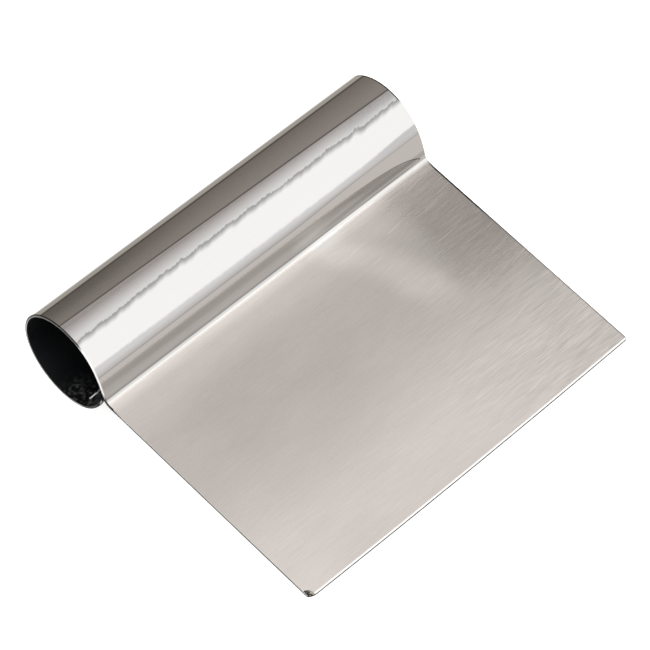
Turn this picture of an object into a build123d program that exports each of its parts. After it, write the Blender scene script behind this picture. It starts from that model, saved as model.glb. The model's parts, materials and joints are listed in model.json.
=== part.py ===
"""Bench scraper with a rolled handle: a flat steel blade on a large round hollow handle.

The scraper lies on a table on its handle and on its working edge. X runs along the handle,
the blade's working edge is toward -Y, and Z is up. The origin is the centre of the box that
the scraper fills, on the table. All lengths are in millimetres.
"""

import os
from math import asin, atan2, cos, degrees, hypot, radians, sin

from build123d import *

# Driving dimensions
width = 120.0            # along the handle, the same for handle and blade
handle_radius = 15.0     # outside of the rolled handle
sheet = 0.8              # thickness of the blade and of the handle's wall
reach = 93.9             # handle's axis to the working edge, at the blade's corners
edge_bow = 0.45          # how far the working edge bulges outward at mid-width
root_radius = 26.0       # flatter curve of the wall where it nears the root, above and below
root_start = 42.0        # direction of the wall above the root, where the flatter curve starts
closing_start = -32.0    # the same below the root
closing_end = -12.65     # direction of the wall at the roll's free edge, just short of the root
bend_radius = 2.1        # concave bend where the roll turns into its flat lip
lip = 1.2                # flat lip beyond the bend, to which the blade is welded
seam_width = 0.8         # butt weld between the lip and the blade
corner_radius = 0.6      # blade's two outer corners
bevel_width = 0.55       # ground bevel along the working edge, on the top face
bevel_height = 0.25      # how much of the sheet the bevel takes away at the edge
tack_length = 8.0        # each closing weld under the root
tack_radius = 1.2        # round face of a closing weld
tack_setback = 0.72      # from the roll's free edge to the middle of the bead, toward the blade
tack_end_round = 0.84    # rounding of a bead's two ends
tack_spacing = 46.0      # between neighbouring closing welds


def along(angle, length, start=(0, 0)):
    """Point at a distance from a start point, in a direction given in degrees."""
    return (start[0] + length * cos(radians(angle)), start[1] + length * sin(radians(angle)))


# Places that follow from them, in the section's own axes: x from the handle's axis toward
# the working edge, y up from the blade's top face, which is level with the handle's axis
root_centre = along(root_start, handle_radius - root_radius)
closing_centre = along(closing_start, handle_radius - root_radius)
bend_end = degrees(asin((bend_radius - root_centre[1]) / (root_radius + bend_radius)))
bend_centre = along(bend_end, root_radius + bend_radius, root_centre)
lip_end = bend_centre[0] + lip
blade_start = lip_end + seam_width
edge_reach = reach + edge_bow

# The blade leans down until its working edge touches the table. The bevel's foot is the
# foremost point, so it and the back of the handle set how deep the scraper is.
lean = asin(handle_radius / hypot(edge_reach, sheet)) - atan2(sheet, edge_reach)
depth = handle_radius + edge_reach * cos(lean) - bevel_height * sin(lean)
handle_axis = (0, depth / 2 - handle_radius, handle_radius)
toward_edge = (0, -cos(lean), -sin(lean))
blade_normal = (0, -sin(lean), cos(lean))

section_plane = Plane(origin=handle_axis, x_dir=toward_edge, z_dir=(-1, 0, 0))
blade_plane = Plane(origin=handle_axis, x_dir=(-1, 0, 0), z_dir=blade_normal)


def roll_wall(inset):
    """A face of the rolled sheet, inset from its outer one: closing end, tube, root, bend, lip."""
    CenterArc(closing_centre, root_radius - inset, closing_start, closing_end - closing_start)
    CenterArc((0, 0), handle_radius - inset, root_start, 360 + closing_start - root_start)
    CenterArc(root_centre, root_radius - inset, bend_end, root_start - bend_end)
    CenterArc(bend_centre, bend_radius + inset, 180 + bend_end, 90 - bend_end)
    Line((bend_centre[0], -inset), (lip_end, -inset))


def make_handle_roll():
    """Sheet rolled into an open tube, with a reverse bend that ends in a flat lip."""
    with BuildPart() as handle_roll:
        with BuildSketch(section_plane):
            with BuildLine():
                roll_wall(0)
                roll_wall(sheet)
                free_edge = along(closing_end, root_radius, closing_centre)
                Line(free_edge, along(closing_end, root_radius - sheet, closing_centre))
                Line((lip_end, 0), (lip_end, -sheet))
            make_face()
        extrude(amount=width / 2, both=True)
    handle_roll.part.label = "handle_roll"
    return handle_roll


def make_blade():
    """Flat plate with a slightly bowed working edge, ground to a bevel on its top face."""
    with BuildPart() as blade:
        with BuildSketch(blade_plane):
            with BuildLine():
                Line((-width / 2, blade_start), (width / 2, blade_start))
                Line((width / 2, blade_start), (width / 2, reach))
                ThreePointArc((width / 2, reach), (0, edge_reach), (-width / 2, reach))
                Line((-width / 2, reach), (-width / 2, blade_start))
            make_face()
        extrude(amount=-sheet)
        upright = blade.edges().filter_by(Axis(handle_axis, blade_normal))
        fillet(upright.sort_by(Axis.Y)[:2], radius=corner_radius)
        top_face = blade.faces().sort_by(Axis(handle_axis, blade_normal))[-1]
        working_edge = top_face.edges().sort_by(Axis.Y)[0]
        chamfer(working_edge, length=bevel_width, length2=bevel_height, reference=top_face)
    blade.part.label = "blade"
    return blade


def make_seam_weld():
    """Butt weld between the handle's lip and the blade, ground flush on both faces."""
    with BuildPart() as seam_weld:
        with BuildSketch(blade_plane):
            with Locations((0, lip_end + seam_width / 2)):
                Rectangle(width, seam_width)
        extrude(amount=-sheet)
    seam_weld.part.label = "seam_weld"
    return seam_weld


def make_closing_weld(name, x, handle_roll):
    """Short round-faced bead that holds the roll's free edge under the root."""
    free_edge = along(closing_end, root_radius, closing_centre)
    bead_centre = (free_edge[0] + tack_setback, free_edge[1] - tack_radius)
    with BuildPart() as closing_weld:
        with BuildSketch(section_plane.offset(-x)):
            with Locations(bead_centre):
                Circle(tack_radius)
        extrude(amount=tack_length / 2, both=True)
        ends = closing_weld.edges().filter_by(GeomType.CIRCLE)
        fillet(ends, radius=tack_end_round)
        add(handle_roll.part, mode=Mode.SUBTRACT)
    closing_weld.part.label = name
    return closing_weld


def main():
    os.makedirs("parts", exist_ok=True)
    handle_roll = make_handle_roll()
    pieces = [handle_roll, make_blade(), make_seam_weld()]
    sides = {"left": -tack_spacing, "middle": 0, "right": tack_spacing}
    for side, x in sides.items():
        pieces.append(make_closing_weld(f"closing_weld_{side}", x, handle_roll))
    for piece in pieces:
        export_step(piece.part, f"parts/{piece.part.label}.step")


main()
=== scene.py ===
"""Looks of the bench scraper: refined meshes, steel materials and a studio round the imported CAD."""

import json
import math

import bmesh
import bpy
from mathutils import Matrix, Vector


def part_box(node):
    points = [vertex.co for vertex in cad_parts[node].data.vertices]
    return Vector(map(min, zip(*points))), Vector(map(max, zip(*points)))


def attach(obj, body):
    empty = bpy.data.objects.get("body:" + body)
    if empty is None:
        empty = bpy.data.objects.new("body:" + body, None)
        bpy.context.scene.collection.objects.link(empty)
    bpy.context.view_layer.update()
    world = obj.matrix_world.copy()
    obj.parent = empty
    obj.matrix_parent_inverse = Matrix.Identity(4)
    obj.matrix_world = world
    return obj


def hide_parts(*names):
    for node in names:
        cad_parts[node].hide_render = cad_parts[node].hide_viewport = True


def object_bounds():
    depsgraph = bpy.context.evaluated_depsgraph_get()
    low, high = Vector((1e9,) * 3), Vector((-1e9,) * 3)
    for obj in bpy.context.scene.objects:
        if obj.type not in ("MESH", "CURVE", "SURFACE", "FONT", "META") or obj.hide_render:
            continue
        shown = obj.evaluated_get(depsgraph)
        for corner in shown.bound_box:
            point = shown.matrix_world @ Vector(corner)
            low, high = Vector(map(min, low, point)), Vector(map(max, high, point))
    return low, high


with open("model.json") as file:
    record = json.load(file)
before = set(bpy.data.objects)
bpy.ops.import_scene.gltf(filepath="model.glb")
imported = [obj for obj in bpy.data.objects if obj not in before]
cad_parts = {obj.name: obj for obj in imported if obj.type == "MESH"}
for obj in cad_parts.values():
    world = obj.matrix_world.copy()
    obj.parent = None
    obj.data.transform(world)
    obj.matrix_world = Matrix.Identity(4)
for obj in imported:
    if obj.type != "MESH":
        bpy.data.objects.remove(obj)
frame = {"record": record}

MM = 0.001
MICRON = 0.001 * MM
cad_low, cad_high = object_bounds()

# ---------------------------------------------------------------------------
# The scraper's own measures, from the frame
# ---------------------------------------------------------------------------
mounts = {m["name"]: m for m in frame["record"]["mounts"]}
roll_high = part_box("handle_roll")[1]
HALF_WIDTH = roll_high.x
RADIUS = roll_high.z / 2
SHEET = RADIUS - mounts["handle_bore"]["dims"]["r_mm"] * MM
AXIS = Vector((0, roll_high.y - RADIUS, RADIUS))
LEAN = math.asin(-mounts["blade_top"]["axis"][1])
TOWARD_EDGE = Vector((0, -math.cos(LEAN), -math.sin(LEAN)))
BLADE_NORMAL = Vector((0, -math.sin(LEAN), math.cos(LEAN)))

# Shape of the root, as in the CAD section: x from the handle's axis toward the edge, y up
ROOT_RADIUS = 26.0 * MM
ROOT_START = math.radians(42)
CLOSING_START = math.radians(-32)
CLOSING_END = math.radians(-12.65)
BEND_RADIUS = 2.1 * MM
LIP = 1.2 * MM
SEAM_WIDTH = 0.8 * MM
EDGE_BOW = 0.45 * MM
CORNER_RADIUS = 0.6 * MM
BEVEL_WIDTH = 0.55 * MM
BEVEL_HEIGHT = 0.25 * MM
TACK_RADIUS = 1.2 * MM
TACK_SETBACK = 0.72 * MM

# Fine detail that only the looks need
RIM_ARRIS = 0.28 * MM        # broken edge round the handle's near end
FAR_RIM_ARRIS = 0.08 * MM    # and round its far end
INNER_SHARE = 0.4            # of which the bore's edge has this much
NEAR_ARRIS = 0.12 * MM       # the same along the blade's near side
FAR_ARRIS = 0.35 * MM        # and along its far side
ARRIS_START = 0.05 * MM      # from an arris to the last flat row of the mesh
LINE = 0.08 * MM             # dark foot of the ground bevel
KNOCK_LENGTH = 3.0 * MM      # knocked corner, along the working edge
KNOCK_DEPTH = 1.0 * MM       # and along the side
KNOCK_POWER = 2.6            # how fast it falls off along the edge
DENT = 1.5 * MM              # size of the dent in it
DENT_DEPTH = 0.3 * MM
DENT_POWER = 1.5             # how fast it grows shallower from its middle
DENT_CORNER = 0.8 * MM       # from both edges to its middle
DENT_START = 0.02 * MM       # depth from which the dented metal looks torn
DENT_AT_LINE = 0.7           # share of its depth that the dark foot's upper side has
DENT_AT_EDGE = 0.6           # and the edge itself
FOLD_ALONG = 0.13 * MM       # small folds in the dent: length of a radian along the edge
FOLD_ACROSS = 0.11 * MM      # and across it
FOLD_PHASE = 1.0             # radian across it where they start
FOLD_SHARE = 0.25            # of the dent's depth
RIPPLE_PITCH = 1.1 * MM      # ripples of a weld bead
RIPPLE_DEPTH = 0.07          # as a share of the bead's radius
BEAD_TAPER = 5               # power of a bead's taper: higher is blunter
BEAD_TIP = 0.02              # its radius at the tips, as a share
POLISH_END = 17.3 * MM       # from the handle's axis, where the mirror polish stops in the bend


def along(angle, length, start=Vector((0, 0))):
    """Point of the section at a distance from a start point, in a direction."""
    return Vector(start) + length * Vector((math.cos(angle), math.sin(angle)))


ROOT_CENTRE = along(ROOT_START, RADIUS - ROOT_RADIUS)
CLOSING_CENTRE = along(CLOSING_START, RADIUS - ROOT_RADIUS)
BEND_END = math.asin((BEND_RADIUS - ROOT_CENTRE.y) / (ROOT_RADIUS + BEND_RADIUS))
BEND_CENTRE = along(BEND_END, ROOT_RADIUS + BEND_RADIUS, ROOT_CENTRE)
LIP_END = BEND_CENTRE.x + LIP
BLADE_START = LIP_END + SEAM_WIDTH
# The working edge's middle: from the foremost point of the CAD, which is the bevel's foot
EDGE_REACH = (AXIS.y - cad_low.y + BEVEL_HEIGHT * math.sin(LEAN)) / math.cos(LEAN)


def place(x, point):
    """A section point at a place along the handle, in the row frame."""
    return AXIS + Vector((x, 0, 0)) + point[0] * TOWARD_EDGE + point[1] * BLADE_NORMAL


# ---------------------------------------------------------------------------
# Meshes
# ---------------------------------------------------------------------------
CLOSING_STEPS, TUBE_STEPS, ROOT_STEPS, BEND_STEPS = 16, 200, 24, 24

# A sheet's material slots: its faces, the arrises at its ends, and two for parts of its outer face
OUTER, INNER, CUT, NEAR_END, FAR_END, EXTRA, SECOND_EXTRA = range(7)


def arc(centre, radius, start, end, steps):
    """Points of an arc, first to last."""
    return [along(start + (end - start) * k / steps, radius, centre) for k in range(steps + 1)]


def roll_wall(depth):
    """The rolled sheet's section, that far in from its outer face, from free edge to lip."""
    closing = arc(CLOSING_CENTRE, ROOT_RADIUS - depth, CLOSING_END, CLOSING_START, CLOSING_STEPS)
    tube = arc((0, 0), RADIUS - depth, CLOSING_START, ROOT_START - 2 * math.pi, TUBE_STEPS)
    root = arc(ROOT_CENTRE, ROOT_RADIUS - depth, ROOT_START, BEND_END, ROOT_STEPS)
    bend = arc(BEND_CENTRE, BEND_RADIUS + depth, math.pi + BEND_END, 1.5 * math.pi, BEND_STEPS)
    return closing + tube[1:] + root[1:] + bend[1:] + [Vector((LIP_END, -depth))]


def flat_wall(start, end, steps):
    """A function that gives a flat sheet's section at a depth."""
    def wall(depth):
        return [Vector((start + (end - start) * k / steps, -depth)) for k in range(steps + 1)]
    return wall


def rounded_rows(near_arris, far_arris, steps=6, spacing=2.0 * MM):
    """Places along the handle with how far both faces draw in there, to round the cut edges."""
    def end(arris):
        inner = HALF_WIDTH - arris
        quarter = [math.pi / 2 * k / steps for k in range(steps + 1)]
        turned = [(inner + arris * math.sin(a), arris * (1 - math.cos(a))) for a in quarter]
        return [(inner - ARRIS_START, 0.0)] + turned
    near = [(-x, inset) for x, inset in reversed(end(near_arris))]
    far = end(far_arris)
    start, stop = near[-1][0], far[0][0]
    count = round((stop - start) / spacing)
    return near + [(start + (stop - start) * k / count, 0.0) for k in range(1, count)] + far


def sheet_mesh(name, rows, faces_at, materials, finish_of=lambda x, point: OUTER):
    """A sheet from rows along the handle. faces_at gives a row's outer and inner points, and
    finish_of picks the material slot for a place of the outer face."""
    mesh = bmesh.new()
    outer, inner, sections = [], [], []
    for x, inset in rows:
        outer_points, inner_points = faces_at(x, inset)
        sections.append(outer_points)
        outer.append([mesh.verts.new(place(x, p)) for p in outer_points])
        inner.append([mesh.verts.new(place(x, p)) for p in inner_points])
    last = len(rows) - 1

    def quad(a, b, c, d, slot):
        mesh.faces.new((a, b, c, d)).material_index = slot

    for i in range(last):
        x = (rows[i][0] + rows[i + 1][0]) / 2
        on_rim = rows[i][1] + rows[i + 1][1] > 0
        arris = NEAR_END if x < 0 else FAR_END
        for j in range(len(outer[i]) - 1):
            middle = (sections[i][j] + sections[i][j + 1]) / 2
            finish = arris if on_rim else finish_of(x, middle)
            quad(outer[i][j], outer[i][j + 1], outer[i + 1][j + 1], outer[i + 1][j], finish)
            finish = arris if on_rim else INNER
            quad(inner[i + 1][j], inner[i + 1][j + 1], inner[i][j + 1], inner[i][j], finish)
        for j in (0, -1):
            quad(inner[i][j], inner[i + 1][j], outer[i + 1][j], outer[i][j], CUT)
    for i in (0, last):
        for j in range(len(outer[i]) - 1):
            quad(outer[i][j], inner[i][j], inner[i][j + 1], outer[i][j + 1], CUT)
    return finish_mesh(mesh, name, materials)


def finish_mesh(mesh, name, materials, sharp_angle=math.radians(20)):
    """Turns a bmesh into a smooth-shaded object whose hard edges stay hard."""
    bmesh.ops.recalc_face_normals(mesh, faces=mesh.faces)
    for face in mesh.faces:
        face.smooth = True
    data = bpy.data.meshes.new(name)
    mesh.to_mesh(data)
    mesh.free()
    data.set_sharp_from_angle(angle=sharp_angle)
    for material in materials:
        data.materials.append(material)
    piece = bpy.data.objects.new(name, data)
    bpy.context.scene.collection.objects.link(piece)
    return piece


def hand_over(piece, node):
    """The piece stands for a CAD node, whose part it hides, and rides on the one body."""
    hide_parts(node)
    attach(piece, "root")


def make_handle(materials):
    """Rolled handle with its reverse bend and lip. The polish stops within the bend."""
    def faces_at(x, inset):
        return roll_wall(inset), roll_wall(SHEET - INNER_SHARE * inset)

    def finish_of(x, point):
        return EXTRA if point.x > POLISH_END else OUTER
    rows = rounded_rows(RIM_ARRIS, FAR_RIM_ARRIS)
    piece = sheet_mesh("handle_shell", rows, faces_at, materials, finish_of)
    hand_over(piece, "handle_roll")


def make_seam(materials, steps=4):
    """Flush weld between the lip and the blade."""
    wall = flat_wall(LIP_END, BLADE_START, steps)

    def faces_at(x, inset):
        return wall(inset), wall(SHEET - inset)
    rows = rounded_rows(NEAR_ARRIS, FAR_ARRIS)
    piece = sheet_mesh("root_seam", rows, faces_at, materials)
    hand_over(piece, "seam_weld")


def blade_rows(knock_steps=22, turn_steps=6):
    """The rounded rows, closer together at the knocked corner and at the round one."""
    knocked, turn = HALF_WIDTH - KNOCK_LENGTH, HALF_WIDTH - CORNER_RADIUS
    near, far = HALF_WIDTH - NEAR_ARRIS - ARRIS_START, HALF_WIDTH - FAR_ARRIS - ARRIS_START
    close = [(-knocked + (knocked - near) * k / knock_steps, 0.0) for k in range(knock_steps)]
    close += [(turn + (far - turn) * k / turn_steps, 0.0) for k in range(turn_steps)]
    apart = [row for row in rounded_rows(NEAR_ARRIS, FAR_ARRIS)
             if not (-near < row[0] < -knocked or turn < row[0] < far)]
    return sorted(close + apart)


def edge_at(x):
    """How far the working edge is from the handle's axis, with its bow and its corners."""
    bowed = EDGE_REACH - EDGE_BOW * (x / HALF_WIDTH) ** 2
    past = min(max(0.0, x - (HALF_WIDTH - CORNER_RADIUS)), CORNER_RADIUS)
    round_corner = CORNER_RADIUS - math.sqrt(CORNER_RADIUS ** 2 - past ** 2)
    knocked = max(0.0, 1 - (x + HALF_WIDTH) / KNOCK_LENGTH)
    return bowed - round_corner - KNOCK_DEPTH * knocked ** KNOCK_POWER


def dent_at(x, reach):
    """How far the top face is pressed down at the knocked corner."""
    across, back = x + HALF_WIDTH - DENT_CORNER, reach - edge_at(x) + DENT_CORNER
    away = math.hypot(across, back) / DENT
    folds = math.sin(x / FOLD_ALONG) * math.cos(reach / FOLD_ACROSS + FOLD_PHASE)
    smooth = DENT_DEPTH * max(0.0, 1 - away) ** DENT_POWER
    return smooth * (1 - FOLD_SHARE + FOLD_SHARE * folds)


def make_blade(materials, close=4.0 * MM, steps=40, close_steps=26):
    """Flat blade with its ground bevel. One corner is knocked, dented and worn. The mesh is
    finer over the last stretch before the bevel, where the dent is."""
    share = 1 - LINE / BEVEL_WIDTH

    def faces_at(x, inset):
        edge = edge_at(x)
        ground = edge - BEVEL_WIDTH
        start = ground - close
        run = [BLADE_START + (start - BLADE_START) * k / steps for k in range(steps)]
        run += [start + close * k / close_steps for k in range(close_steps + 1)]
        top = [Vector((reach, -inset - dent_at(x, reach))) for reach in run]
        dent = dent_at(x, edge)
        line_height = -max(share * BEVEL_HEIGHT, inset) - DENT_AT_LINE * dent
        top.append(Vector((ground + share * BEVEL_WIDTH, line_height)))
        top.append(Vector((edge, -max(BEVEL_HEIGHT, inset) - DENT_AT_EDGE * dent)))
        bottom = [Vector((reach, inset - SHEET)) for reach in run + [edge - LINE, edge]]
        return top, bottom

    def finish_of(x, point):
        beyond = point.x - edge_at(x)
        if beyond > -LINE:
            return CUT
        if dent_at(x, point.x) > DENT_START:
            return SECOND_EXTRA
        return EXTRA if beyond > -BEVEL_WIDTH else OUTER
    piece = sheet_mesh("blade_plate", blade_rows(), faces_at, materials, finish_of)
    hand_over(piece, "blade")


def make_closing_bead(side, material, steps=96, around=28):
    """Rippled weld bead that tapers at both ends."""
    node = f"closing_weld_{side}"
    low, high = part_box(node)
    free_edge = along(CLOSING_END, ROOT_RADIUS, CLOSING_CENTRE)
    centre = free_edge + Vector((TACK_SETBACK, -TACK_RADIUS))
    middle, length = (low.x + high.x) / 2, high.x - low.x
    mesh = bmesh.new()
    rings = []
    for k in range(steps + 1):
        t = 2 * k / steps - 1
        taper = math.sqrt(max(0.0, 1 - abs(t) ** BEAD_TAPER))
        phase = (t * length / 2) % RIPPLE_PITCH / RIPPLE_PITCH
        radius = TACK_RADIUS * max(BEAD_TIP, taper) * (1 - RIPPLE_DEPTH + RIPPLE_DEPTH * phase)
        ring = [along(2 * math.pi * i / around, radius, centre) for i in range(around)]
        rings.append([mesh.verts.new(place(middle + t * length / 2, p)) for p in ring])
    for a, b in zip(rings, rings[1:]):
        for i in range(around):
            mesh.faces.new((a[i], a[i - 1], b[i - 1], b[i]))
    mesh.faces.new(rings[0])
    mesh.faces.new(rings[-1])
    piece = finish_mesh(mesh, f"closing_bead_{side}", [material], math.radians(60))
    hand_over(piece, node)


# ---------------------------------------------------------------------------
# Materials
# ---------------------------------------------------------------------------
class Nodes:
    """Short ways to add shader nodes to a tree."""

    def __init__(self, tree):
        self.tree = tree
        tree.nodes.clear()

    def add(self, kind, **settings):
        node = self.tree.nodes.new(kind)
        for key, value in settings.items():
            setattr(node, key, value)
        return node

    def set(self, socket, value):
        """Links a socket, or gives it a constant."""
        if hasattr(value, "is_output"):
            self.tree.links.new(value, socket)
        else:
            socket.default_value = value

    def math(self, operation, *values):
        node = self.add("ShaderNodeMath", operation=operation)
        for socket, value in zip(node.inputs, values):
            self.set(socket, value)
        return node.outputs[0]

    def product(self, *values):
        """All of the values multiplied."""
        result = values[0]
        for value in values[1:]:
            result = self.math("MULTIPLY", result, value)
        return result

    def total(self, *values):
        """Sum of the values."""
        result = values[0]
        for value in values[1:]:
            result = self.math("ADD", result, value)
        return result

    def blend(self, a, b, weight_a, weight_b):
        """Weighted sum of two values."""
        return self.total(self.product(a, weight_a), self.product(b, weight_b))

    def rest(self, value):
        """What is left of 1."""
        return self.math("SUBTRACT", 1.0, value)

    def swing(self, noise, size):
        """Noise moved to swing round zero, times a size."""
        return self.product(self.math("SUBTRACT", noise, 0.5), size)

    def ramp(self, value, low, high, to_low=0.0, to_high=1.0, smooth=True):
        """Goes from one number to another as the value goes from low to high."""
        node = self.add("ShaderNodeMapRange")
        node.interpolation_type = "SMOOTHSTEP" if smooth else "LINEAR"
        for socket, entry in zip(node.inputs, (value, low, high, to_low, to_high)):
            self.set(socket, entry)
        return node.outputs[0]

    def spread(self, noise, to_low=0.0, to_high=1.0):
        """Goes from one number to another over the values that noise usually has."""
        return self.ramp(noise, 0.3, 0.7, to_low, to_high)

    def mix(self, share, a, b):
        """Blend of two colours."""
        node = self.add("ShaderNodeMix", data_type="RGBA")
        sockets = [s for s in node.inputs if s.enabled]
        for socket, entry in zip(sockets, (share, a, b)):
            self.set(socket, entry)
        return next(s for s in node.outputs if s.enabled)

    def noise(self, coordinates, stretch, detail=2.0, tilt=0.0):
        """Noise whose features have these sizes along X, Y and Z, in metres, turned about Z."""
        turned = self.add("ShaderNodeMapping")
        turned.inputs["Rotation"].default_value[2] = tilt
        self.set(turned.inputs["Vector"], coordinates)
        scaled = self.add("ShaderNodeMapping")
        scaled.inputs["Scale"].default_value = [1 / size for size in stretch]
        self.set(scaled.inputs["Vector"], turned.outputs[0])
        node = self.add("ShaderNodeTexNoise")
        node.inputs["Scale"].default_value = 1.0
        node.inputs["Detail"].default_value = detail
        self.set(node.inputs["Vector"], scaled.outputs[0])
        return node.outputs["Fac"]

    def places(self):
        """The point, its place along the handle, and its two section coordinates from the
        handle's axis: toward the edge and up. All but the point are in millimetres."""
        point = self.add("ShaderNodeTexCoord").outputs["Object"]
        split = self.add("ShaderNodeSeparateXYZ")
        self.set(split.inputs[0], point)
        x, y, z = split.outputs
        y, z = self.math("SUBTRACT", y, AXIS.y), self.math("SUBTRACT", z, AXIS.z)
        toward, up = (self.blend(y, z, way.y / MM, way.z / MM)
                      for way in (TOWARD_EDGE, BLADE_NORMAL))
        return point, self.product(x, 1 / MM), toward, up

    def direction(self, toward, up):
        """Degrees round the handle's axis: 0 toward the edge, 90 up."""
        return self.product(self.math("ARCTAN2", up, toward), 180 / math.pi)

    def height_angle(self, y, z):
        """Degrees round the tent's axis: 0 in front, 90 above, 180 behind."""
        return self.product(self.math("ARCTAN2", z, self.product(y, -1.0)), 180 / math.pi)

    def tinted(self, level, colour):
        """A colour times a level."""
        node = self.add("ShaderNodeCombineXYZ")
        for socket, share in zip(node.inputs, colour):
            self.set(socket, self.product(level, share))
        return node.outputs[0]


def grey(level, warmth=0.0):
    """A grey of that linear level, warmer where warmth is above 0."""
    return (level * (1 + warmth), level, level * (1 - warmth), 1.0)


DARK_EDGE_WARMTH, WORN = 0.03, 0.01     # warmth of a dark cut edge, and of one that handling has polished
NEARLY_BLACK = grey(0.03, DARK_EDGE_WARMTH)
DULL = 0.1                   # grazing value of the dull cut faces and edges


def metal(name, build, grazing=1.0):
    """Metal whose colour, roughness and relief come from a function. The relief is a height
    from 0 to 1 and what a height of 1 stands for. A fifth value, if there is one, is how bare
    the metal is. A low grazing value keeps a matt metal dark when it is seen edge-on."""
    material = bpy.data.materials.new(name)
    material.use_nodes = True
    n = Nodes(material.node_tree)
    shader = n.add("ShaderNodeBsdfPrincipled")
    shader.inputs["Metallic"].default_value = 1.0
    shader.inputs["Specular Tint"].default_value = grey(grazing)
    colour, roughness, height, depth, *bare = build(n)
    if bare:
        n.set(shader.inputs["Metallic"], bare[0])
    n.set(shader.inputs["Base Color"], colour)
    n.set(shader.inputs["Roughness"], roughness)
    relief = n.add("ShaderNodeBump")
    relief.inputs["Distance"].default_value = depth
    n.set(relief.inputs["Height"], height)
    n.set(shader.inputs["Normal"], relief.outputs[0])
    output = n.add("ShaderNodeOutputMaterial")
    n.set(output.inputs["Surface"], shader.outputs[0])
    return material, n, shader


def mirror_polish(n):
    """Nearly flawless polish with faint lengthwise marks. Painted shade makes it darker in a
    stripe above the bend, which rises toward the far end, and dark round the top of the far end."""
    point, x, toward, up = n.places()
    marks = n.noise(point, (0.04, 0.0005, 0.0005), 3.0)
    haze = n.noise(point, (0.012, 0.006, 0.006), 2.0)
    stripe = n.math("SUBTRACT", up, n.ramp(x, 4, 40, 0.0, 1.3))
    # Painted shade darkens what the polish mirrors: a stripe above the bend and the top of the far
    # end
    painted_dark_stripe = n.product(n.ramp(stripe, 2.4, 1.4), n.ramp(stripe, 0.1, 0.6), n.ramp(toward, 14, 15),
                     n.ramp(x, 10, 45, 0.22, 0.27))
    painted_dark_top = n.product(n.ramp(x, 59.45, 59.65), n.ramp(n.direction(toward, up), 72, 78), 0.85)
    colour = n.mix(n.spread(marks), grey(0.597), grey(0.603))
    colour = n.mix(n.total(painted_dark_stripe, painted_dark_top), colour, grey(0.03))
    return colour, n.spread(haze, 0.006, 0.012), marks, 0.1 * MICRON


def brushed(n):
    """Satin brushed along the handle, finer in a patch by the far side. Painted highlights make it
    paler along the root, toward the working edge and in a streak beside the patch, and painted
    shade makes the patch darker."""
    point, x, toward, _ = n.places()
    broad = n.noise(point, (0.014, 0.0007, 0.0007), 2.0)
    fine = n.noise(point, (0.007, 0.00026, 0.00026), 2.0)
    crossing = n.noise(point, (0.006, 0.0003, 0.0003), 2.0, math.radians(1.6))
    hairs = n.total(n.product(broad, 0.2), n.product(fine, 0.5), n.product(crossing, 0.3))
    grain = n.noise(point, (0.0006, 0.0005, 0.0005), 2.0)
    clouds = n.noise(point, (0.03, 0.012, 0.012), 2.0)

    # The patch and the streak have uneven sides, so they go by a bent place along the handle
    bent = n.total(x, n.swing(clouds, 8.0), n.swing(broad, 0.8))
    patch = n.product(n.ramp(bent, 33, 46), n.ramp(toward, 70, 42))
    streak_place = n.ramp(toward, 22, 52, 20, 34, smooth=False)
    from_streak = n.math("ABSOLUTE", n.math("SUBTRACT", bent, streak_place))
    streak = n.product(n.ramp(from_streak, 9, 1), n.ramp(toward, 58, 45), n.ramp(x, 40, 36))
    # Painted light: a highlight along the root and in the streak, paler toward the working edge, by
    # the root and toward the near side, and painted shade in the patch
    root = n.product(n.ramp(toward, 22, 18), n.ramp(toward, 17.3, 18.2, -0.4, 1.0))
    level = n.total(0.617, n.ramp(toward, 46, 84, 0.0, 0.185), n.ramp(toward, 34, 22, 0.0, 0.095),
                    n.product(root, 0.185), n.product(patch, -0.115), n.product(streak, 0.125),
                    n.ramp(x, -38, -58, 0.0, 0.035), n.spread(clouds, -0.02, 0.02),
                    n.spread(grain, -0.012, 0.012))

    # Brushing shows most toward the far corner of the working edge
    coarse = n.product(n.ramp(x, -5, 48), n.ramp(toward, 34, 86, 0.08, 1.0))
    contrast = n.total(0.30, n.product(coarse, 0.95))
    level = n.product(level, n.total(1.0, n.swing(hairs, contrast)))
    scratches = n.noise(point, (0.016, 0.00024, 0.00024), 0.0, math.radians(-6.6))
    lines = n.noise(point, (0.016, 0.00016, 0.00016), 1.0)
    corner = n.product(n.ramp(x, 10, 50), n.ramp(toward, 40, 78))
    level = n.total(level, n.product(n.ramp(scratches, 0.735, 0.775), n.ramp(x, 5, 40), 0.13),
                    n.product(n.ramp(lines, 0.60, 0.68), corner, 0.09))

    # Dark line along the far side, strongest by the root
    line = n.product(n.ramp(toward, 17, 21), n.ramp(toward, 46, 35, 0.2, 0.92),
                     n.ramp(x, 59.25, 59.45))
    level = n.product(level, n.rest(line))
    roughness = n.total(n.ramp(hairs, 0.35, 0.65, 0.32, 0.40), n.product(patch, -0.14))
    roughness = n.product(roughness, n.ramp(toward, 17.2, 18.4, 0.3, 1.0))
    relief = n.product(hairs, n.ramp(patch, 0, 1, 1.0, 0.3))
    return n.tinted(level, (1.05, 1.0, 0.96)), roughness, relief, 2 * MICRON


def bevel_grind(n):
    """Bright ground bevel."""
    lines = n.noise(n.places()[0], (0.004, 0.0002, 0.0002), 2.0)
    return n.mix(n.spread(lines), grey(0.68, WORN), grey(0.76, WORN)), 0.16, lines, 1 * MICRON


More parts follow.
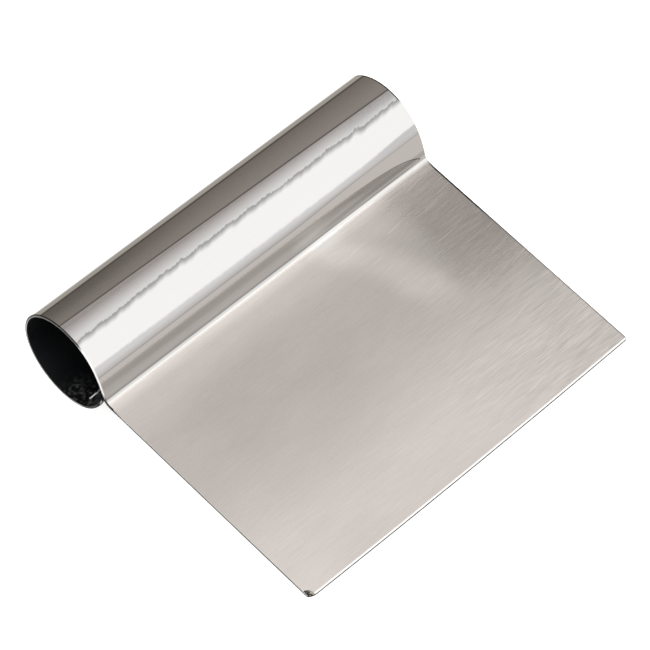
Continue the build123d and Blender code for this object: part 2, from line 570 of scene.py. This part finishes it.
def bore_wall(n):
    """Inside of the roll, painted dark as shade in the bore. Low in the near mouth, painted
    reflections make rough pale patches, and a painted glint a pale streak.
    """
    point, x, toward, up = n.places()
    direction = n.direction(toward, up)
    mottle = n.noise(point, (0.0012, 0.0009, 0.0009), 3.0)
    below = n.product(n.ramp(direction, -104, -72), n.ramp(direction, -12, -25))
    painted_pale_patches = n.product(below, n.ramp(x, -49, -56), n.ramp(mottle, 0.46, 0.64))
    aslant = n.total(direction, 56.0, n.product(n.total(x, 55), 0.5))
    painted_glint_streak = n.product(n.ramp(n.math("ABSOLUTE", aslant), 1.9, 0.9), n.ramp(x, -57.6, -56.6),
                        n.ramp(x, -51.8, -52.4), n.ramp(mottle, 0.36, 0.46))
    # Painted shade: the bore's near-black colour. Painted reflections: the pale patches, and a
    # painted glint along the pale streak
    colour = n.mix(painted_pale_patches, (0.085, 0.09, 0.10, 1), grey(0.28))
    colour = n.mix(painted_glint_streak, colour, grey(0.9))
    roughness = n.total(0.35, n.blend(painted_pale_patches, painted_glint_streak, 0.3, 0.4))
    bare = n.total(1.0, n.blend(painted_pale_patches, painted_glint_streak, -0.08, -0.75))
    return colour, roughness, mottle, 10 * MICRON, bare


def ground_rim(n):
    """Fine-ground cut face of the tube. Painted shade keeps its outer half dark but for the lit
    side by the blade, and makes it darker at the top, at the bottom and where the wall turns
    into the root."""
    point, _, toward, up = n.places()
    grain = n.noise(point, (0.0005, 0.0005, 0.0005), 3.0)
    direction = n.direction(toward, up)
    radius = n.math("SQRT", n.blend(toward, up, toward, up))
    # Painted light and shade round the ring: pale on the side by the blade, dark on the outer half
    # elsewhere, at the top, at the bottom and by the root
    painted_lit_side = n.product(n.ramp(direction, -14, -4), n.ramp(direction, 76, 64))
    outer = n.product(n.ramp(radius, 14.46, 14.58), n.rest(painted_lit_side), 0.93)
    top = n.product(n.ramp(direction, 62, 74), n.ramp(direction, 178, 164), 0.4)
    bottom = n.product(n.ramp(direction, -64, -50), n.ramp(direction, 0, -14), 0.8)
    root = n.ramp(toward, 14.9, 15.5)
    dark = n.math("MAXIMUM", n.math("MAXIMUM", outer, root), n.total(top, bottom))
    pale = n.mix(n.spread(grain), grey(0.60, 0.02), grey(0.74, 0.02))
    return n.mix(dark, pale, NEARLY_BLACK), 0.32, grain, 3 * MICRON


def rim_arris(n):
    """Broken edge round the tube's ends, dark but for the side by the blade, which a painted
    highlight makes pale.
    """
    point, x, toward, up = n.places()
    grain = n.noise(point, (0.0006, 0.0003, 0.0003), 3.0)
    direction = n.direction(toward, up)
    to_top = n.math("SUBTRACT", direction, n.ramp(x, -1, 1, 0.0, 8.0))
    # Painted highlight on the side of the edge by the blade
    painted_lit_side = n.product(n.ramp(direction, 2, 12), n.ramp(to_top, 72, 60))
    dark = n.mix(n.spread(grain), grey(0.02, DARK_EDGE_WARMTH), grey(0.08, DARK_EDGE_WARMTH))
    return n.mix(painted_lit_side, dark, grey(0.9)), 0.25, grain, 2 * MICRON


def dark_arris(n):
    """Broken edge, dark against the polish and paler toward the working edge."""
    point, _, toward, _ = n.places()
    grain = n.noise(point, (0.0006, 0.0003, 0.0003), 3.0)
    dark = n.mix(n.spread(grain), NEARLY_BLACK, grey(0.11, DARK_EDGE_WARMTH))
    return n.mix(n.ramp(toward, 35, 70), dark, grey(0.5, 0.02)), 0.3, grain, 3 * MICRON


def sheared_edge(n):
    """Dark sheared edge of the blade."""
    grain = n.noise(n.places()[0], (0.0006, 0.0003, 0.0003), 3.0)
    return n.mix(n.spread(grain), grey(0.015, DARK_EDGE_WARMTH), grey(0.05, DARK_EDGE_WARMTH)), 0.38, grain, 4 * MICRON


def bright_arris(n):
    """Edge of the blade that handling has polished, still dark by the root."""
    point, _, toward, _ = n.places()
    grain = n.noise(point, (0.0015, 0.0004, 0.0004), 3.0)
    bright = n.mix(n.spread(grain), grey(0.7, WORN), grey(0.85, WORN))
    return n.mix(n.ramp(toward, 18.5, 24), NEARLY_BLACK, bright), 0.15, grain, 1 * MICRON


def knocked_steel(n):
    """Torn, brownish metal of the knocked corner, darkest in the dent."""
    point, x, _, _ = n.places()
    tears = n.noise(point, (0.0006, 0.0004, 0.0004), 3.0)
    # Near-black spots at the corner's near side, among the torn metal
    dark_spots = n.product(n.ramp(x, -58.4, -59.0), n.ramp(tears, 0.62, 0.48))
    colour = n.mix(n.ramp(tears, 0.35, 0.65), (0.27, 0.24, 0.21, 1), (0.62, 0.57, 0.52, 1))
    return n.mix(dark_spots, colour, (0.03, 0.027, 0.024, 1)), 0.45, tears, 30 * MICRON


def weld_metal(n):
    """Wire-brushed weld bead with straw and grey tints."""
    point = n.places()[0]
    grain = n.noise(point, (0.0005, 0.0005, 0.0005), 3.0)
    tint = n.noise(point, (0.0025, 0.0015, 0.0015), 1.0)
    colour = n.mix(n.ramp(tint, 0.4, 0.6), grey(0.32, 0.02), grey(0.5, 0.08))
    return colour, n.spread(grain, 0.28, 0.45), grain, 10 * MICRON


def make_brushed():
    """The blade's satin: light spreads across the brushing and hardly along it. Edge-on it is
    darker than other metals, most of all near the root."""
    material, n, shader = metal("brushed_steel", brushed)
    shader.inputs["Anisotropic"].default_value = 1.0
    _, x, toward, _ = n.places()
    grazing = n.total(n.ramp(toward, 20, 25, 0.05, 0.28), n.ramp(toward, 32, 50, 0.0, 0.04),
                      n.ramp(toward, 50, 62, 0.0, -0.06),
                      n.product(n.ramp(x, 25, 48), n.ramp(toward, 26, 34, 0.12, 0.20)))
    n.set(shader.inputs["Specular Tint"], n.tinted(grazing, (1.0, 0.91, 0.88)))
    across = n.add("ShaderNodeCombineXYZ")
    for socket, value in zip(across.inputs, TOWARD_EDGE):
        socket.default_value = value
    n.set(shader.inputs["Tangent"], across.outputs[0])
    return material


# ---------------------------------------------------------------------------
# Studio: only the steel sees the tent and the two cards, and the camera sees the floor
# ---------------------------------------------------------------------------
TENT_RADIUS = 1.5
TENT_NEAR, TENT_FAR = -2.5, 0.96
TENT_STEPS = 60
PANEL_MIDDLE = 0.73          # place along the tent that the handle's middle mirrors
PANEL_REACH = 0.2            # from there to where its panels stop slanting
SEAM_HEIGHT = 114.2          # in degrees round the tent, at the panels' middle
SEAM_SLANT = 51.0            # degrees that the seam sinks for each metre along the tent
TEAR_HEIGHT = 93.5           # top of the front sheet, before its bow and its bites
NICK_PLACE = 0.017           # from the panels' middle to the middle of the nick in it
NICK_REACH = 0.012
FAR = 9                      # size of noise that doesn't change that way
FRONT_CARD_END = 0.02        # the two cards' edges beside the scraper
BACK_CARD_START = 0.078
CARD_HEIGHT = 0.3 * MM
FLOOR_REACH = 6.0
LAMP_SIZE, LAMP_POWER = 1.6, 8.0
LAMP_OFFSET = Vector((-0.2, -0.2, 1.1))    # from the handle's axis

# Colours of the studio, as linear light
TOP_NEAR, TOP_FAR = (1.10, 1.07, 1.055, 1), (0.50, 0.45, 0.425, 1)
BACK_HIGH, BACK_LOW = (0.39, 0.346, 0.31, 1), (0.225, 0.19, 0.162, 1)
BACK_FOOT = (0.13, 0.11, 0.095, 1)
SEAM_DARK = (0.175, 0.15, 0.14, 1)
SHEET_WHITE, SHEET_SHADOW = (1.51, 1.495, 1.467, 1), (0.61, 0.605, 0.60, 1)
FOOT_LOW, FOOT_HIGH = (0.93, 0.90, 0.88, 1), (1.05, 1.02, 1.01, 1)
WALL_BROWN = (0.46, 0.41, 0.36, 1)
TABLE, TABLE_SHADOW = (0.86, 0.795, 0.745, 1), (0.56, 0.525, 0.50, 1)
BEYOND_TABLE = (0.70, 0.665, 0.635, 1)
BACK_WHITE, BACK_OLIVE = (1.3, 1.27, 1.23, 1), (0.51, 0.475, 0.425, 1)


def light_surface(name, mesh, colour_of):
    """Glowing surface that is seen in reflections alone."""
    material = bpy.data.materials.new(name)
    material.use_nodes = True
    n = Nodes(material.node_tree)
    split = n.add("ShaderNodeSeparateXYZ")
    point = n.add("ShaderNodeTexCoord").outputs["Object"]
    n.set(split.inputs[0], point)
    emission = n.add("ShaderNodeEmission")
    n.set(emission.inputs["Color"], colour_of(n, point, *split.outputs))
    n.set(n.add("ShaderNodeOutputMaterial").inputs["Surface"], emission.outputs[0])
    surface = finish_mesh(mesh, name, [material])
    surface.visible_camera = False
    surface.visible_diffuse = False
    surface.visible_shadow = False


def tent_colour(n, point, x, y, z):
    """The tent's panels: a white front sheet with a grey foot, a shaded top and a brown back."""
    angle = n.height_angle(y, z)
    speckle = n.ramp(n.noise(point, (0.0018, 0.045, 0.045), 2.0), 0.4, 0.6)
    off_middle = n.ramp(x, PANEL_MIDDLE - PANEL_REACH, PANEL_MIDDLE + PANEL_REACH,
                        -PANEL_REACH, PANEL_REACH, smooth=False)
    apart = n.math("POWER", n.math("DIVIDE", off_middle, 0.17), 2.0)

    # Dark seam between top and back, which slants along the tent
    top, back = shaded_top(n, x, angle, speckle), brown_back(n, x, angle, speckle)
    over_seam = n.total(angle, n.product(off_middle, SEAM_SLANT), -SEAM_HEIGHT)
    panels = n.mix(n.ramp(over_seam, -0.8, 0.0), top, back)
    seam = n.product(n.ramp(over_seam, -2.4, -1.2), n.ramp(over_seam, 3.0, 0.0), 0.95)
    panels = n.mix(seam, panels, SEAM_DARK)
    panels = front_sheet(n, point, x, angle, off_middle, apart, panels)
    return grey_foot(n, point, x, angle, speckle, apart, panels)


def shaded_top(n, x, angle, speckle):
    """Pale to brown toward the back, darker past the end of its panel."""
    top = n.mix(n.ramp(angle, 84, 112, smooth=False), TOP_NEAR, TOP_FAR)
    past_end = n.blend(n.ramp(x, 0.79, 0.835), n.ramp(x, 0.84, 0.90), 0.2, 0.3)
    top = n.mix(n.product(past_end, n.ramp(angle, 78, 94, 0.4, 1.1)), top, grey(0.05))
    return n.mix(n.product(speckle, n.ramp(x, 0.79, 0.84, 0.06, 0.14)), top, grey(1.4))


def brown_back(n, x, angle, speckle):
    """Darker toward the floor and toward the near end, with a dark strip at its foot."""
    back = n.mix(n.ramp(angle, 118, 182, smooth=False), BACK_HIGH, BACK_LOW)
    shade = n.product(n.ramp(x, 0.70, 0.56), n.ramp(angle, 130, 165, 0.1, 0.32))
    back = n.mix(shade, back, grey(0.02))
    back = n.mix(n.product(speckle, 0.035), back, grey(0.9))
    return n.mix(n.ramp(angle, 177, 179), back, BACK_FOOT)


def front_sheet(n, point, x, angle, off_middle, apart, panels):
    """White sheet over the panels. Its top is torn, and a thin shadow lies along the tear. The
    shadow follows the large bites alone, and the tear the small jags as well."""
    from_nick = n.math("ABSOLUTE", n.math("SUBTRACT", off_middle, NICK_PLACE))
    nick = n.ramp(from_nick, NICK_REACH, 0.0, 0.0, 3.0)
    curl = n.product(n.ramp(x, 0.556, 0.547), n.ramp(x, 0.50, 0.53), 10.0)
    bites = n.blend(n.noise(point, (0.009, FAR, FAR), 2.0), n.noise(point, (0.045, FAR, FAR), 1.0),
                    14.0, 9.0)
    jags = n.swing(n.noise(point, (0.0019, FAR, FAR), 3.0), 14.0)
    over_bites = n.total(angle, n.product(apart, 4.5), nick, curl, bites, -TEAR_HEIGHT)
    over_tear = n.total(over_bites, nick, jags)
    fringe = n.product(n.ramp(over_tear, 0.0, 0.6), n.ramp(over_tear, 5.0, 1.0), 0.45)
    panels = n.mix(fringe, panels, grey(1.15))
    panels = n.mix(n.ramp(over_tear, 0.2, -0.4), panels, SHEET_SHADOW)
    white = n.product(n.ramp(over_bites, -1.4, -15.5), n.ramp(over_tear, -0.2, -0.8))
    return n.mix(white, panels, SHEET_WHITE)


def grey_foot(n, point, x, angle, speckle, apart, panels):
    """Ragged grey foot of the front sheet, which reaches higher toward both ends."""
    ragged = n.swing(n.noise(point, (0.005, FAR, FAR), 3.0), 3.6)
    lowered = n.total(angle, n.product(apart, -2.6), n.ramp(x, 0.835, 0.88, 0.0, -4.0), ragged)
    foot = n.mix(n.ramp(angle, 0, 3.5), FOOT_LOW, FOOT_HIGH)
    foot = n.mix(n.product(speckle, 0.06), foot, grey(1.5))
    foot = n.mix(n.ramp(x, 0.78, 0.88, 0.0, 0.11), foot, grey(0.02))
    return n.mix(n.ramp(lowered, 4.2, 9.8), foot, panels)


def make_tent():
    """Half round tent along the handle, closed by a dark wall at the far end."""
    angles = [math.pi * k / TENT_STEPS for k in range(TENT_STEPS + 1)]
    profile = [(-TENT_RADIUS * math.cos(a), TENT_RADIUS * math.sin(a)) for a in angles]
    mesh = bmesh.new()
    near, far = ([mesh.verts.new((x, y, z)) for y, z in profile] for x in (TENT_NEAR, TENT_FAR))
    for k in range(TENT_STEPS):
        mesh.faces.new((near[k], near[k + 1], far[k + 1], far[k]))
    light_surface("light_tent", mesh, tent_colour)
    wall = bmesh.new()
    wall.faces.new([wall.verts.new((TENT_FAR, y, z)) for y, z in profile])
    light_surface("dark_wall", wall, wall_colour)


def wall_colour(n, point, x, y, z):
    """White low in front, as the sheet is, dark above and brown toward the floor behind."""
    angle = n.height_angle(y, z)
    dark = n.mix(n.ramp(angle, 120, 176), grey(0.10), WALL_BROWN)
    return n.mix(n.ramp(angle, 62, 74), grey(1.5), dark)


def front_card_colour(n, point, x, y, z):
    """Beige table, the thin shadow at its end, and grey beyond. The table reaches further
    out toward the handle's far end."""
    distance = n.product(y, -1.0)
    along_handle = n.total(x, n.product(distance, -0.48), -0.012)
    distance = n.math("DIVIDE", distance, n.ramp(along_handle, 0.012, 0.060, 1.0, 2.2))
    beyond = n.ramp(n.math("DIVIDE", 1.0, distance), 5.4, 0.8, smooth=False)
    ground = n.mix(beyond, BEYOND_TABLE, FOOT_LOW)
    ground = n.mix(n.ramp(distance, 0.196, 0.182), ground, TABLE_SHADOW)
    return n.mix(n.ramp(distance, 0.158, 0.150), ground, TABLE)


def back_card_colour(n, point, x, y, z):
    """White beside the handle, then olive grey, then brown."""
    far = n.mix(n.ramp(y, 0.19, 0.42), BACK_OLIVE, BACK_FOOT)
    return n.mix(n.ramp(y, BACK_CARD_START, 0.104), BACK_WHITE, far)


def make_card(name, start, end, colour_of):
    """Card that lies just above the floor, between two places along Y."""
    mesh = bmesh.new()
    corners = [(TENT_NEAR, start), (TENT_FAR, start), (TENT_FAR, end), (TENT_NEAR, end)]
    mesh.faces.new([mesh.verts.new((x, y, CARD_HEIGHT)) for x, y in corners])
    light_surface(name, mesh, colour_of)


def make_floor():
    """Plain pale light table under the scraper."""
    mesh = bmesh.new()
    corners = [(-1, -1), (1, -1), (1, 1), (-1, 1)]
    mesh.faces.new([mesh.verts.new((x * FLOOR_REACH, y * FLOOR_REACH, 0)) for x, y in corners])
    material = bpy.data.materials.new("pale_floor")
    material.use_nodes = True
    shader = material.node_tree.nodes["Principled BSDF"]
    shader.inputs["Base Color"].default_value = (0.9, 0.9, 0.9, 1)
    shader.inputs["Roughness"].default_value = 0.9
    shader.inputs["Specular IOR Level"].default_value = 0.1
    shader.inputs["Emission Color"].default_value = (1, 1, 1, 1)
    shader.inputs["Emission Strength"].default_value = 0.5
    finish_mesh(mesh, "floor", [material])


def make_lights():
    """A soft light overhead that the steel doesn't mirror, and a pale world."""
    data = bpy.data.lights.new("overhead", "AREA")
    data.shape = "DISK"
    data.size = LAMP_SIZE
    data.energy = LAMP_POWER
    lamp = bpy.data.objects.new("overhead", data)
    lamp.location = AXIS + LAMP_OFFSET
    lamp.rotation_euler = (AXIS - lamp.location).to_track_quat("-Z", "Y").to_euler()
    lamp.visible_glossy = False
    bpy.context.scene.collection.objects.link(lamp)
    world = bpy.data.worlds.new("pale_world")
    world.use_nodes = True
    world.node_tree.nodes["Background"].inputs["Color"].default_value = (1, 1, 1, 1)
    world.node_tree.nodes["Background"].inputs["Strength"].default_value = 1.0
    bpy.context.scene.world = world


# ---------------------------------------------------------------------------
# Camera
# ---------------------------------------------------------------------------
VIEW_AZIMUTH = math.radians(-43.967)
VIEW_ELEVATION = math.radians(51.465)
VIEW_ROLL = math.radians(-0.855)
VIEW_DISTANCE = 0.9982
AIM_OFFSET = Vector((-1.70, -0.30, -1.11)) * MM    # from the middle of the object's box
LENS = 207.77


def make_camera():
    """Long lens from the front left, at the height angle of the picture to match."""
    aim = (cad_low + cad_high) / 2 + AIM_OFFSET
    level = math.cos(VIEW_ELEVATION)
    back = Vector((math.sin(VIEW_AZIMUTH) * level, -math.cos(VIEW_AZIMUTH) * level,
                   math.sin(VIEW_ELEVATION)))
    data = bpy.data.cameras.new("camera")
    data.lens = LENS
    data.clip_start = 0.05
    data.clip_end = 50
    camera = bpy.data.objects.new("camera", data)
    turn = (-back).to_track_quat("-Z", "Y").to_matrix().to_4x4()
    turn = turn @ Matrix.Rotation(VIEW_ROLL, 4, "Z")
    camera.matrix_world = Matrix.Translation(aim + back * VIEW_DISTANCE) @ turn
    bpy.context.scene.collection.objects.link(camera)
    bpy.context.scene.camera = camera


# ---------------------------------------------------------------------------
# The scene
# ---------------------------------------------------------------------------
make_camera()
satin = make_brushed()
bore, tube_arris, polish, near_arris, bevel, knocked, weld = (
    metal(finish.__name__, finish)[0] for finish in
    (bore_wall, rim_arris, mirror_polish, bright_arris, bevel_grind, knocked_steel, weld_metal))
rim, far_arris, edge = (
    metal(finish.__name__, finish, grazing=DULL)[0] for finish in
    (ground_rim, dark_arris, sheared_edge))
make_handle([polish, bore, rim, tube_arris, tube_arris, satin])
make_blade([satin, satin, edge, near_arris, far_arris, bevel, knocked])
make_seam([satin, satin, edge, near_arris, far_arris])
for side in ("left", "middle", "right"):
    make_closing_bead(side, weld)
make_floor()
make_tent()
make_card("front_card", -TENT_RADIUS, FRONT_CARD_END, front_card_colour)
make_card("back_card", BACK_CARD_START, TENT_RADIUS, back_card_colour)
make_lights()
bpy.context.scene.view_settings.view_transform = "Standard"

bpy.context.view_layer.update()
